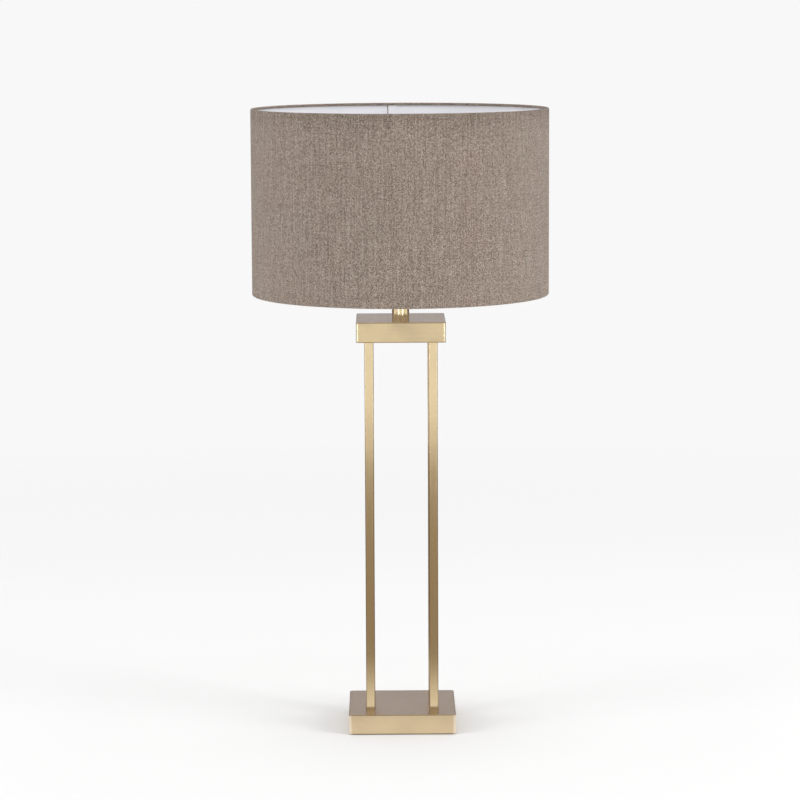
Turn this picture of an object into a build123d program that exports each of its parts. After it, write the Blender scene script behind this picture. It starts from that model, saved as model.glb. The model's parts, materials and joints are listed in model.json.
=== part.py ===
from build123d import *
from math import sqrt
import os

os.makedirs("parts", exist_ok=True)

# Column table lamp with a drum shade, in millimetres
# The origin is the middle of the footprint on the table, +Z is up and the front looks along -Y

# Fits
push_fit = 0.05  # per side, for pieces pressed or screwed together
slide_fit = 0.1  # per side, for pieces that drop into or slide along each other
drill_fit = 0.25  # radial, for a rod or screw in a drilled hole
free_gap = 0.3  # between pieces that pass close by each other
cut_over = 1.0  # how far a cut runs past the face it opens

# Felt pad and bottom cover
felt_thickness = 1.5
felt_inset = 3.0
cover_thickness = 2.0

# Base shell
base_width = 145.0
base_height = 26.0
base_wall = 1.5
base_top_thickness = 2.0
base_corner_radius = 4.0
base_edge_round = 0.8

# Base weight
weight_thickness = 16.0
weight_gap = 0.5
weight_corner_radius = 3.0
boss_radius = 6.0
boss_inset = 11.0
nut_pocket_radius = 10.0
nut_pocket_depth = 8.0
chamber_radius = 17.0
channel_width = 15.0

# Cord grommet
grommet_bore_radius = 3.2
grommet_neck_radius = 4.7
grommet_flange_radius = 6.2
grommet_flange_thickness = 1.5
grommet_edge_chamfer = 0.5

# Legs and the tie rods inside them
leg_side = 12.0
leg_wall = 1.0
leg_corner_radius = 1.2
leg_length = 505.0
leg_inset = 17.0  # from the block's side to the middle of a leg
bush_length = 8.0
rod_radius = 4.0
rod_bore_radius = 2.8
rod_end_length = 1.0
rod_nut_flats = 13.0
rod_nut_height = 3.0
rod_washer_radius = 7.6
rod_washer_thickness = 1.0

# Small countersunk screws of the cover and the block
screw_radius = 1.5
screw_head_radius = 2.8
screw_head_height = 1.5
screw_length = 8.0

# Top block
block_width = 120.0
block_height = 27.0
block_wall = 1.5
block_top_thickness = 2.0
block_floor_thickness = 2.0
block_corner_radius = 3.0
block_edge_round = 0.8
post_radius = 4.0
post_inset = 7.5
post_hole_depth = 8.0

# Neck and the nipple through it
neck_radius = 11.5
neck_height = 36.5
neck_wall = 1.5
neck_head_thickness = 5.0
nipple_radius = 5.0
nipple_bore_radius = 3.5
nipple_end_length = 1.0
nipple_nut_flats = 14.0
nipple_nut_height = 3.0
nipple_washer_radius = 9.0
nipple_washer_thickness = 1.0

# Lampholder, heights above its foot
cap_radius = 19.5
cap_height = 32.0
cap_wall = 2.0
cap_flare_height = 11.0
cap_boss_height = 8.0
cap_chamber_radius = 16.0
cap_chamber_taper = 3.0
cap_taper_height = 4.0
cap_ledge_height = 24.0
core_disc_thickness = 4.0
pedestal_height = 3.0
contact_shell_radius = 13.4
contact_shell_wall = 0.5
contact_shell_length = 22.0
shoulder_radius = 23.5
shoulder_thickness = 4.0
skirt_radius = 19.8
skirt_bore_radius = 15.0
skirt_length = 26.0
skirt_lip_chamfer = 0.8
lock_screw_radius = 1.5
lock_screw_height = 3.6
lock_screw_length = 5.5
post_terminal_radius = 2.4
post_terminal_length = 7.0
post_terminal_offset = 5.0
post_bore_depth = 5.0
clamp_screw_radius = 1.2
clamp_screw_head_radius = 1.9
clamp_screw_head_height = 1.5
leaf_width = 6.0
leaf_thickness = 0.5
leaf_height = 3.0
leaf_foot_reach = 9.0
leaf_foot_length = 3.5
leaf_tip_reach = 4.0
leaf_pad_reach = 2.0
leaf_bend_radius = 1.0

# Push bar of the switch
bar_radius = 2.2
bar_length = 44.0
bar_offset = 11.5
bar_height = 17.0
bar_travel = 7.0
bar_end_chamfer = 0.6
bar_running_fit = 0.08
lug_width = 10.0
lug_depth = 6.4
lug_length = 11.0

# Shade retaining ring
ring_flange_radius = 28.0
ring_flange_thickness = 3.0
ring_collar_radius = 24.5
ring_collar_height = 6.0
ring_grips = 12
ring_grip_radius = 1.6
ring_edge_chamfer = 0.5

# Shade
shade_radius = 200.0
shade_height = 250.0
cover_cloth = 0.8
lining_thickness = 0.7
shade_wire = 2.0
hem_height = 4.0
hub_radius = 32.0
hub_bore_radius = 21.0
hub_thickness = 1.5
hub_recess = 40.0
arm_count = 3
arm_start = 90.0
arm_hub_run = 16.0
arm_rim_run = 25.0
arm_bend_radius = 15.0

# Bulb, a candle bulb with a screw cap, heights above its end contact
bulb_length = 98.0
bulb_contact_radius = 4.8
bulb_contact_height = 1.0
bulb_insulator_height = 4.5
bulb_insulator_foot_radius = 5.6
bulb_insulator_top_radius = 12.0
bulb_cap_radius = 13.2
bulb_cap_wall = 0.4
bulb_cap_length = 20.5
bulb_collar_radius = 14.0
bulb_collar_height = 2.5
bulb_collar_slope = 1.5
bulb_cap_lip = 2.0
glass_thickness = 0.8
glass_radius = 17.5
glass_bury = 3.5
glass_neck_height = 2.0
glass_belly_height = 22.0
glass_tip_radius = 3.0
stem_radius = 2.4
stem_length = 24.0
stem_flange_thickness = 1.5
filament_count = 4
filament_radius = 0.8
filament_length = 34.0
filament_lean = 8.0
filament_hub_height = 1.0

# Terminal block in the base
terminal_length = 16.0
terminal_width = 17.0
terminal_height = 12.5
terminal_round = 1.5
terminal_pitch = 8.6
terminal_wire_drop = 7.5
terminal_reach = 22.0
terminal_play = 2.0
insert_radius = 2.6
insert_bore_radius = 1.4
insert_length = 14.0
insert_screw_spacing = 8.0
insert_screw_radius = 1.25
insert_screw_sink = 0.5
fixing_screw_length = 16.0
fixing_screw_head_height = 2.0

# Internal lead, a flat two-core cable
lead_width = 4.6
lead_thickness = 2.8
lead_core_radius = 1.0
lead_core_spacing = 2.5
lead_floor_gap = 0.4
lead_bare_length = 12.0
lead_entry_depth = 5.0
lead_head_length = 1.0
lead_bend_slack = 0.1
core_lead_out = 2.4

# Heights
base_bottom = felt_thickness
base_top = base_bottom + base_height
base_ceiling = base_top - base_top_thickness
cover_top = base_bottom + cover_thickness
weight_bottom = base_ceiling - weight_thickness
nut_pocket_ceiling = weight_bottom + nut_pocket_depth
grommet_height = cover_top + free_gap + grommet_flange_radius
channel_ceiling = grommet_height + grommet_flange_radius + free_gap
block_bottom = base_top + leg_length
block_top = block_bottom + block_height
block_floor_top = block_bottom + block_floor_thickness
block_ceiling = block_top - block_top_thickness
holder_bottom = block_top + neck_height
boss_top = holder_bottom + cap_boss_height
ledge_top = holder_bottom + cap_ledge_height
disc_top = ledge_top + core_disc_thickness
pedestal_top = disc_top + pedestal_height
cap_top = holder_bottom + cap_height
shoulder_top = cap_top + shoulder_thickness
skirt_top = shoulder_top + skirt_length
hub_top = shoulder_top + hub_thickness
shade_bottom = shoulder_top - hub_recess
shade_top = shade_bottom + shade_height
bulb_bottom = pedestal_top + leaf_height + free_gap
rod_bottom = nut_pocket_ceiling - rod_washer_thickness - rod_nut_height - rod_end_length
rod_top = block_floor_top + rod_washer_thickness + rod_nut_height + rod_end_length
nipple_bottom = block_ceiling - nipple_washer_thickness - nipple_nut_height - nipple_end_length
terminal_ceiling = cover_top + free_gap + terminal_height
terminal_wire_height = terminal_ceiling - terminal_wire_drop
post_terminal_bottom = ledge_top - post_terminal_length
clamp_height = post_terminal_bottom + post_bore_depth / 2

# Widths shared by neighbours
base_inside = base_width - 2 * base_wall
cover_width = base_inside - 2 * free_gap
weight_width = base_inside - 2 * weight_gap
boss_spacing = base_width - 2 * boss_inset
block_inside = block_width - 2 * block_wall
block_floor_width = block_inside - 2 * slide_fit
post_reach = block_width / 2 - post_inset
leg_inside = leg_side - 2 * leg_wall
leg_spacing = block_width - 2 * leg_inset
rod_hole_radius = rod_radius + drill_fit
screw_hole_radius = screw_radius + push_fit
cap_inside_radius = cap_radius - cap_wall
wire_inset = cover_cloth + slide_fit + shade_wire / 2
shade_wire_reach = shade_radius - wire_inset
lower_wire_height = shade_bottom + wire_inset
upper_wire_height = shade_top - wire_inset
lining_radius = shade_radius - cover_cloth - push_fit

# The lead runs in the upright plane through the axis and the back left leg
lead_out = Vector(-1, 1, 0).normalized()
lead_across = Vector(1, 1, 0).normalized()
lead_plane = Plane(origin=(0, 0, 0), x_dir=lead_out, z_dir=lead_across)
leg_reach = leg_spacing / sqrt(2)


def upright(height):
    """The XZ plane with its origin raised to a height, for profiles that are turned about Z."""
    return Plane(origin=(0, 0, height), x_dir=(1, 0, 0), z_dir=(0, -1, 0))


def lead_level(height, reach=0.0):
    """A level plane whose local x points from the axis to the back left leg."""
    return Plane(origin=lead_out * reach + Vector(0, 0, height), x_dir=lead_out, z_dir=(0, 0, 1))


def lead_face(reach, height):
    """An upright plane across the lead's run, facing the back left leg."""
    return Plane(
        origin=lead_out * reach + Vector(0, 0, height), x_dir=lead_across * -1, z_dir=lead_out
    )


def clamp_plane(side, reach):
    """An upright plane facing outwards across the lead, at the height of the clamp screws."""
    return Plane(
        origin=lead_across * side * reach + Vector(0, 0, clamp_height),
        x_dir=lead_out,
        z_dir=lead_across * side,
    )


def arm_plane(angle):
    """The upright plane through the axis that holds the fitter's arm at an angle."""
    return Plane(origin=(0, 0, 0), x_dir=(1, 0, 0), z_dir=(0, -1, 0)).rotated((0, 0, angle))


def lead_point(reach, side, height):
    """A point by its reach towards the back left leg, its side step and its height."""
    return lead_out * reach + lead_across * side + Vector(0, 0, height)


# Felt pad
with BuildPart() as felt_pad:
    with BuildSketch():
        RectangleRounded(
            base_width - 2 * felt_inset, base_width - 2 * felt_inset, base_corner_radius
        )
    extrude(amount=felt_thickness)
felt_pad.part.label = "felt_pad"
export_step(felt_pad.part, "parts/felt_pad.step")

# Bottom cover, flush with the shell's rim
with BuildPart(Plane.XY.offset(base_bottom)) as bottom_cover:
    with BuildSketch(Plane.XY.offset(base_bottom)):
        RectangleRounded(cover_width, cover_width, base_corner_radius - base_wall)
    extrude(amount=cover_thickness)
    with GridLocations(boss_spacing, boss_spacing, 2, 2):
        Cylinder(
            screw_radius + drill_fit,
            cover_thickness,
            align=(Align.CENTER, Align.CENTER, Align.MIN),
            mode=Mode.SUBTRACT,
        )
        Cone(
            screw_head_radius + drill_fit,
            screw_radius + drill_fit,
            screw_head_height,
            align=(Align.CENTER, Align.CENTER, Align.MIN),
            mode=Mode.SUBTRACT,
        )
bottom_cover.part.label = "bottom_cover"
export_step(bottom_cover.part, "parts/bottom_cover.step")

with BuildPart(Plane.XY.offset(base_bottom)) as cover_screws:
    with GridLocations(boss_spacing, boss_spacing, 2, 2):
        Cone(
            screw_head_radius,
            screw_radius,
            screw_head_height,
            align=(Align.CENTER, Align.CENTER, Align.MIN),
        )
        Cylinder(screw_radius, screw_length, align=(Align.CENTER, Align.CENTER, Align.MIN))
cover_screws.part.label = "cover_screws"
export_step(cover_screws.part, "parts/cover_screws.step")

# Base shell, a square box open below
with BuildPart() as base_shell:
    with BuildSketch(Plane.XY.offset(base_bottom)):
        RectangleRounded(base_width, base_width, base_corner_radius)
    extrude(amount=base_height)
    fillet(base_shell.edges().group_by(Axis.Z)[-1], base_edge_round)
    with BuildSketch(Plane.XY.offset(base_bottom)):
        RectangleRounded(base_inside, base_inside, base_corner_radius - base_wall)
    extrude(amount=base_height - base_top_thickness, mode=Mode.SUBTRACT)
    with BuildSketch(Plane.XY.offset(base_ceiling)):
        with GridLocations(leg_spacing, leg_spacing, 2, 2):
            Circle(rod_hole_radius)
    extrude(amount=base_top_thickness, mode=Mode.SUBTRACT)
    with BuildSketch(Plane(origin=(0, base_width / 2, grommet_height), z_dir=(0, 1, 0))):
        Circle(grommet_neck_radius + push_fit)
    extrude(amount=-base_wall, mode=Mode.SUBTRACT)
base_shell.part.label = "base_shell"
export_step(base_shell.part, "parts/base_shell.step")

# Base weight, a casting with pockets for nuts and wiring
terminal_pocket_start = terminal_reach - terminal_length / 2 - terminal_play
terminal_pocket_end = terminal_reach + terminal_length / 2 + lead_bare_length
terminal_pocket_length = terminal_pocket_end - terminal_pocket_start
terminal_pocket_width = terminal_width + 2 * terminal_play
with BuildPart() as base_weight:
    with BuildSketch(Plane.XY.offset(weight_bottom)):
        RectangleRounded(weight_width, weight_width, weight_corner_radius)
    extrude(amount=weight_thickness)
    with BuildSketch(Plane.XY.offset(cover_top)):
        with GridLocations(boss_spacing, boss_spacing, 2, 2):
            Circle(boss_radius)
    extrude(amount=weight_bottom - cover_top)
    with BuildSketch(Plane.XY.offset(cover_top)):
        with GridLocations(boss_spacing, boss_spacing, 2, 2):
            Circle(screw_hole_radius)
    extrude(amount=screw_length, mode=Mode.SUBTRACT)
    with BuildSketch(Plane.XY.offset(weight_bottom)):
        with GridLocations(leg_spacing, leg_spacing, 2, 2):
            Circle(nut_pocket_radius)
    extrude(amount=nut_pocket_depth, mode=Mode.SUBTRACT)
    with BuildSketch(Plane.XY.offset(weight_bottom)):
        with GridLocations(leg_spacing, leg_spacing, 2, 2):
            Circle(rod_hole_radius)
    extrude(amount=weight_thickness, mode=Mode.SUBTRACT)
    with BuildSketch(Plane.XY.offset(weight_bottom)):
        Circle(chamber_radius)
        Rectangle(channel_width, weight_width / 2, align=(Align.CENTER, Align.MIN))
    extrude(amount=channel_ceiling - weight_bottom, mode=Mode.SUBTRACT)
    with BuildSketch(lead_level(weight_bottom, terminal_pocket_start)):
        Rectangle(
            terminal_pocket_length, terminal_pocket_width, align=(Align.MIN, Align.CENTER)
        )
    extrude(amount=terminal_ceiling - weight_bottom, mode=Mode.SUBTRACT)
    with BuildSketch(lead_level(terminal_ceiling, terminal_reach)):
        Circle(screw_hole_radius)
    extrude(amount=fixing_screw_length - terminal_height + cut_over, mode=Mode.SUBTRACT)
base_weight.part.label = "base_weight"
export_step(base_weight.part, "parts/base_weight.step")

# Cord grommet, a neck in the back wall between two flanges
back_inside = base_width / 2 - base_wall
grommet_back = base_width / 2 + grommet_flange_thickness
grommet_length = base_wall + 2 * grommet_flange_thickness
with BuildPart() as cord_grommet:
    with BuildSketch(Plane(origin=(0, back_inside, grommet_height), z_dir=(0, 1, 0))):
        Circle(grommet_neck_radius)
    extrude(amount=base_wall)
    with BuildSketch(Plane(origin=(0, base_width / 2, grommet_height), z_dir=(0, 1, 0))):
        Circle(grommet_flange_radius)
    extrude(amount=grommet_flange_thickness)
    with BuildSketch(Plane(origin=(0, back_inside, grommet_height), z_dir=(0, 1, 0))):
        Circle(grommet_flange_radius)
    extrude(amount=-grommet_flange_thickness)
    rims = cord_grommet.edges().filter_by(GeomType.CIRCLE).group_by(Axis.Y)
    chamfer(rims[0] + rims[-1], grommet_edge_chamfer)
    with BuildSketch(Plane(origin=(0, grommet_back, grommet_height), z_dir=(0, 1, 0))):
        Circle(grommet_bore_radius)
    extrude(amount=-grommet_length, mode=Mode.SUBTRACT)
cord_grommet.part.label = "cord_grommet"
export_step(cord_grommet.part, "parts/cord_grommet.step")

# Terminal block, hung upside down in the weight with its screws facing the cover
terminal_bottom = terminal_ceiling - terminal_height
with BuildPart() as terminal_block:
    with BuildSketch(lead_level(terminal_bottom, terminal_reach)):
        RectangleRounded(terminal_length, terminal_width, terminal_round)
    extrude(amount=terminal_height)
    with BuildSketch(lead_level(terminal_bottom, terminal_reach)):
        with GridLocations(insert_screw_spacing, terminal_pitch, 2, 2):
            Circle(insert_screw_radius + slide_fit)
    extrude(amount=terminal_wire_height - terminal_bottom, mode=Mode.SUBTRACT)
    with BuildSketch(lead_level(terminal_bottom, terminal_reach)):
        Circle(screw_radius + drill_fit)
    extrude(amount=terminal_height, mode=Mode.SUBTRACT)
    with BuildSketch(lead_level(terminal_bottom, terminal_reach)):
        Circle(screw_head_radius + slide_fit)
    extrude(amount=fixing_screw_head_height, mode=Mode.SUBTRACT)
    with BuildSketch(lead_face(terminal_reach + terminal_length / 2, terminal_wire_height)):
        with GridLocations(terminal_pitch, 1, 2, 1):
            Circle(insert_radius + push_fit)
    extrude(amount=-terminal_length, mode=Mode.SUBTRACT)
terminal_block.part.label = "terminal_block"
export_step(terminal_block.part, "parts/terminal_block.step")

with BuildPart() as terminal_inserts:
    with BuildSketch(lead_face(terminal_reach + insert_length / 2, terminal_wire_height)):
        with GridLocations(terminal_pitch, 1, 2, 1):
            Circle(insert_radius)
            Circle(insert_bore_radius, mode=Mode.SUBTRACT)
    extrude(amount=-insert_length)
    with BuildSketch(lead_level(terminal_bottom, terminal_reach)):
        with GridLocations(insert_screw_spacing, terminal_pitch, 2, 2):
            Circle(insert_screw_radius + push_fit)
    extrude(amount=terminal_wire_height - terminal_bottom, mode=Mode.SUBTRACT)
terminal_inserts.part.label = "terminal_inserts"
export_step(terminal_inserts.part, "parts/terminal_inserts.step")

insert_screw_bottom = terminal_bottom + insert_screw_sink
insert_screw_top = terminal_wire_height - lead_core_radius - push_fit
with BuildPart() as terminal_screws:
    with BuildSketch(lead_level(insert_screw_bottom, terminal_reach)):
        with GridLocations(insert_screw_spacing, terminal_pitch, 2, 2):
            Circle(insert_screw_radius)
    extrude(amount=insert_screw_top - insert_screw_bottom)
terminal_screws.part.label = "terminal_screws"
export_step(terminal_screws.part, "parts/terminal_screws.step")

with BuildPart() as terminal_fixing_screw:
    with BuildSketch(lead_level(terminal_bottom, terminal_reach)):
        Circle(screw_radius)
    extrude(amount=fixing_screw_length)
    with BuildSketch(lead_level(terminal_bottom, terminal_reach)):
        Circle(screw_head_radius)
    extrude(amount=fixing_screw_head_height)
terminal_fixing_screw.part.label = "terminal_fixing_screw"
export_step(terminal_fixing_screw.part, "parts/terminal_fixing_screw.step")

# Legs, square tubes standing on the base
leg_half = leg_spacing / 2
leg_places = {
    "front_left": (-leg_half, -leg_half),
    "front_right": (leg_half, -leg_half),
    "back_left": (-leg_half, leg_half),
    "back_right": (leg_half, leg_half),
}
for name, place in leg_places.items():
    with BuildPart() as leg:
        with BuildSketch(Plane.XY.offset(base_top)):
            with Locations(place):
                RectangleRounded(leg_side, leg_side, leg_corner_radius)
                Rectangle(leg_inside, leg_inside, mode=Mode.SUBTRACT)
        extrude(amount=leg_length)
    leg.part.label = f"leg_{name}"
    export_step(leg.part, f"parts/leg_{name}.step")

# Hollow tie rods, from the weight's pockets up through the legs into the block
for name, place in leg_places.items():
    with BuildPart() as tie_rod:
        with BuildSketch(Plane.XY.offset(rod_bottom)):
            with Locations(place):
                Circle(rod_radius)
                Circle(rod_bore_radius, mode=Mode.SUBTRACT)
        extrude(amount=rod_top - rod_bottom)
    tie_rod.part.label = f"tie_rod_{name}"
    export_step(tie_rod.part, f"parts/tie_rod_{name}.step")

# Bushes that centre each rod in the ends of its leg
bush_bottoms = {
    "leg_bushes_lower": base_top,
    "leg_bushes_upper": block_bottom - bush_length,
}
for name, height in bush_bottoms.items():
    with BuildPart() as leg_bushes:
        with BuildSketch(Plane.XY.offset(height)):
            with GridLocations(leg_spacing, leg_spacing, 2, 2):
                Rectangle(leg_inside - 2 * slide_fit, leg_inside - 2 * slide_fit)
                Circle(rod_radius + push_fit, mode=Mode.SUBTRACT)
        extrude(amount=bush_length)
    leg_bushes.part.label = name
    export_step(leg_bushes.part, f"parts/{name}.step")

# Washers and nuts that draw the rods tight
washer_bottoms = {
    "rod_washers_lower": nut_pocket_ceiling - rod_washer_thickness,
    "rod_washers_upper": block_floor_top,
}
for name, height in washer_bottoms.items():
    with BuildPart() as rod_washers:
        with BuildSketch(Plane.XY.offset(height)):
            with GridLocations(leg_spacing, leg_spacing, 2, 2):
                Circle(rod_washer_radius)
                Circle(rod_radius + drill_fit, mode=Mode.SUBTRACT)
        extrude(amount=rod_washer_thickness)
    rod_washers.part.label = name
    export_step(rod_washers.part, f"parts/{name}.step")

nut_bottoms = {
    "rod_nuts_lower": nut_pocket_ceiling - rod_washer_thickness - rod_nut_height,
    "rod_nuts_upper": block_floor_top + rod_washer_thickness,
}
for name, height in nut_bottoms.items():
    with BuildPart() as rod_nuts:
        with BuildSketch(Plane.XY.offset(height)):
            with GridLocations(leg_spacing, leg_spacing, 2, 2):
                RegularPolygon(rod_nut_flats / 2, 6, major_radius=False)
                Circle(rod_radius + push_fit, mode=Mode.SUBTRACT)
        extrude(amount=rod_nut_height)
    rod_nuts.part.label = name
    export_step(rod_nuts.part, f"parts/{name}.step")

# Block floor, clamped to the legs by the upper nuts
with BuildPart(Plane.XY.offset(block_bottom)) as block_floor:
    with BuildSketch(Plane.XY.offset(block_bottom)):
        RectangleRounded(block_floor_width, block_floor_width, block_corner_radius - block_wall)
        with GridLocations(leg_spacing, leg_spacing, 2, 2):
            Circle(rod_hole_radius, mode=Mode.SUBTRACT)
    extrude(amount=block_floor_thickness)
    with PolarLocations(post_reach, 4):
        Cylinder(
            screw_radius + drill_fit,
            block_floor_thickness,
            align=(Align.CENTER, Align.CENTER, Align.MIN),
            mode=Mode.SUBTRACT,
        )
        Cone(
            screw_head_radius + drill_fit,
            screw_radius + drill_fit,
            screw_head_height,
            align=(Align.CENTER, Align.CENTER, Align.MIN),
            mode=Mode.SUBTRACT,
        )
block_floor.part.label = "block_floor"
export_step(block_floor.part, "parts/block_floor.step")

# Block shell, a square box open below with a screw post inside each wall
with BuildPart() as block_shell:
    with BuildSketch(Plane.XY.offset(block_bottom)):
        RectangleRounded(block_width, block_width, block_corner_radius)
    extrude(amount=block_height)
    fillet(block_shell.edges().group_by(Axis.Z)[-1], block_edge_round)
    with BuildSketch(Plane.XY.offset(block_bottom)):
        RectangleRounded(block_inside, block_inside, block_corner_radius - block_wall)
    extrude(amount=block_height - block_top_thickness, mode=Mode.SUBTRACT)
    with BuildSketch(Plane.XY.offset(block_floor_top)):
        with PolarLocations(post_reach, 4):
            Circle(post_radius)
    extrude(amount=block_ceiling - block_floor_top)
    with BuildSketch(Plane.XY.offset(block_floor_top)):
        with PolarLocations(post_reach, 4):
            Circle(screw_hole_radius)
    extrude(amount=post_hole_depth, mode=Mode.SUBTRACT)
    with BuildSketch(Plane.XY.offset(block_ceiling)):
        Circle(nipple_radius + drill_fit)
    extrude(amount=block_top_thickness, mode=Mode.SUBTRACT)
block_shell.part.label = "block_shell"
export_step(block_shell.part, "parts/block_shell.step")

with BuildPart(Plane.XY.offset(block_bottom)) as block_screws:
    with PolarLocations(post_reach, 4):
        Cone(
            screw_head_radius,
            screw_radius,
            screw_head_height,
            align=(Align.CENTER, Align.CENTER, Align.MIN),
        )
        Cylinder(screw_radius, screw_length, align=(Align.CENTER, Align.CENTER, Align.MIN))
block_screws.part.label = "block_screws"
export_step(block_screws.part, "parts/block_screws.step")

# Neck, a turned sleeve with a closed head under the lampholder
with BuildPart() as neck:
    with BuildSketch(Plane.XY.offset(block_top)):
        Circle(neck_radius)
    extrude(amount=neck_height)
    with BuildSketch(Plane.XY.offset(block_top)):
        Circle(neck_radius - neck_wall)
    extrude(amount=neck_height - neck_head_thickness, mode=Mode.SUBTRACT)
    with BuildSketch(Plane.XY.offset(holder_bottom)):
        Circle(nipple_radius + slide_fit)
    extrude(amount=-neck_head_thickness, mode=Mode.SUBTRACT)
neck.part.label = "neck"
export_step(neck.part, "parts/neck.step")

# Nipple with its washer and nut under the block's top
with BuildPart() as nipple:
    with BuildSketch(Plane.XY.offset(nipple_bottom)):
        Circle(nipple_radius)
        Circle(nipple_bore_radius, mode=Mode.SUBTRACT)
    extrude(amount=boss_top - nipple_bottom)
nipple.part.label = "nipple"
export_step(nipple.part, "parts/nipple.step")

with BuildPart() as nipple_washer:
    with BuildSketch(Plane.XY.offset(block_ceiling)):
        Circle(nipple_washer_radius)
        Circle(nipple_radius + drill_fit, mode=Mode.SUBTRACT)
    extrude(amount=-nipple_washer_thickness)
nipple_washer.part.label = "nipple_washer"
export_step(nipple_washer.part, "parts/nipple_washer.step")

with BuildPart() as nipple_nut:
    with BuildSketch(Plane.XY.offset(block_ceiling - nipple_washer_thickness)):
        RegularPolygon(nipple_nut_flats / 2, 6, major_radius=False)
        Circle(nipple_radius + push_fit, mode=Mode.SUBTRACT)
    extrude(amount=-nipple_nut_height)
nipple_nut.part.label = "nipple_nut"
export_step(nipple_nut.part, "parts/nipple_nut.step")

# Lampholder cap, a moulded bowl with a threaded boss, a ledge for the core and holes for the bar
with BuildPart() as holder_cap:
    with BuildSketch(upright(holder_bottom)):
        with BuildLine():
            Polyline(
                (nipple_radius + push_fit, 0),
                (neck_radius, 0),
                (cap_radius, cap_flare_height),
                (cap_radius, cap_height),
                (cap_inside_radius, cap_height),
                (cap_inside_radius, cap_ledge_height),
                (cap_chamber_radius, cap_ledge_height),
                (cap_chamber_radius, cap_boss_height + cap_taper_height),
                (cap_chamber_radius - cap_chamber_taper, cap_boss_height),
                (nipple_radius + push_fit, cap_boss_height),
                close=True,
            )
        make_face()
    revolve(axis=Axis.Z)
    with BuildSketch(Plane.YZ.offset(-cap_radius)):
        with Locations((-bar_offset, holder_bottom + bar_height)):
            Circle(bar_radius + drill_fit)
    extrude(amount=2 * cap_radius, mode=Mode.SUBTRACT)
    with BuildSketch(Plane.XZ.offset(-cap_radius)):
        with Locations((0, holder_bottom + lock_screw_height)):
            Circle(lock_screw_radius + push_fit)
    extrude(amount=cap_radius - nipple_radius, mode=Mode.SUBTRACT)
holder_cap.part.label = "holder_cap"
export_step(holder_cap.part, "parts/holder_cap.step")

with BuildPart() as lock_screw:
    with BuildSketch(Plane.XZ.offset(-nipple_radius - push_fit)):
        with Locations((0, holder_bottom + lock_screw_height)):
            Circle(lock_screw_radius)
    extrude(amount=-lock_screw_length)
lock_screw.part.label = "lock_screw"
export_step(lock_screw.part, "parts/lock_screw.step")

# Lampholder core, a disc on the cap's ledge with a pedestal above and the switch lug below
with BuildPart() as holder_core:
    with BuildSketch(Plane.XY.offset(ledge_top)):
        Circle(cap_inside_radius - slide_fit)
    extrude(amount=core_disc_thickness)
    with BuildSketch(Plane.XY.offset(disc_top)):
        Circle(contact_shell_radius - slide_fit)
    extrude(amount=pedestal_height)
    with BuildSketch(Plane.XY.offset(ledge_top)):
        with Locations((0, -bar_offset)):
            Rectangle(lug_width, lug_depth)
    extrude(amount=-lug_length)
    with BuildSketch(Plane.YZ.offset(-lug_width / 2)):
        with Locations((-bar_offset, holder_bottom + bar_height)):
            Circle(bar_radius + bar_running_fit)
    extrude(amount=lug_width, mode=Mode.SUBTRACT)
holder_core.part.label = "holder_core"
export_step(holder_core.part, "parts/holder_core.step")

# Terminal posts under the core, with their clamp screws facing outwards
with BuildPart() as holder_terminals:
    with BuildSketch(lead_level(post_terminal_bottom)):
        with GridLocations(1, 2 * post_terminal_offset, 1, 2):
            Circle(post_terminal_radius)
    extrude(amount=post_terminal_length)
    with BuildSketch(lead_level(post_terminal_bottom)):
        with GridLocations(1, 2 * post_terminal_offset, 1, 2):
            Circle(lead_core_radius + push_fit)
    extrude(amount=post_bore_depth, mode=Mode.SUBTRACT)
    for side in (-1, 1):
        with BuildSketch(clamp_plane(side, post_terminal_offset)):
            Circle(clamp_screw_radius + push_fit)
        extrude(amount=post_terminal_radius, mode=Mode.SUBTRACT)
holder_terminals.part.label = "holder_terminals"
export_step(holder_terminals.part, "parts/holder_terminals.step")

with BuildPart() as holder_clamp_screws:
    for side in (-1, 1):
        with BuildSketch(clamp_plane(side, post_terminal_offset + lead_core_radius + push_fit)):
            Circle(clamp_screw_radius)
        extrude(amount=post_terminal_radius)
        with BuildSketch(clamp_plane(side, post_terminal_offset + post_terminal_radius)):
            Circle(clamp_screw_head_radius)
        extrude(amount=clamp_screw_head_height)
holder_clamp_screws.part.label = "holder_clamp_screws"
export_step(holder_clamp_screws.part, "parts/holder_clamp_screws.step")

# Screw contact shell around the pedestal
with BuildPart() as contact_shell:
    with BuildSketch(Plane.XY.offset(disc_top)):
        Circle(contact_shell_radius + contact_shell_wall)
        Circle(contact_shell_radius, mode=Mode.SUBTRACT)
    extrude(amount=contact_shell_length)
contact_shell.part.label = "contact_shell"
export_step(contact_shell.part, "parts/contact_shell.step")

# Centre contact, a bent leaf with its foot on the pedestal
leaf_low = leaf_thickness / 2
leaf_high = leaf_height - leaf_thickness / 2
with BuildPart() as centre_contact:
    with BuildSketch(upright(pedestal_top)):
        with BuildLine() as leaf_line:
            FilletPolyline(
                (-leaf_foot_reach, leaf_low),
                (-leaf_foot_reach + leaf_foot_length, leaf_low),
                (-leaf_pad_reach, leaf_high),
                (leaf_tip_reach, leaf_high),
                radius=leaf_bend_radius,
            )
        trace(line_width=leaf_thickness)
    extrude(amount=leaf_width / 2, both=True)
centre_contact.part.label = "centre_contact"
export_step(centre_contact.part, "parts/centre_contact.step")

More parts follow.
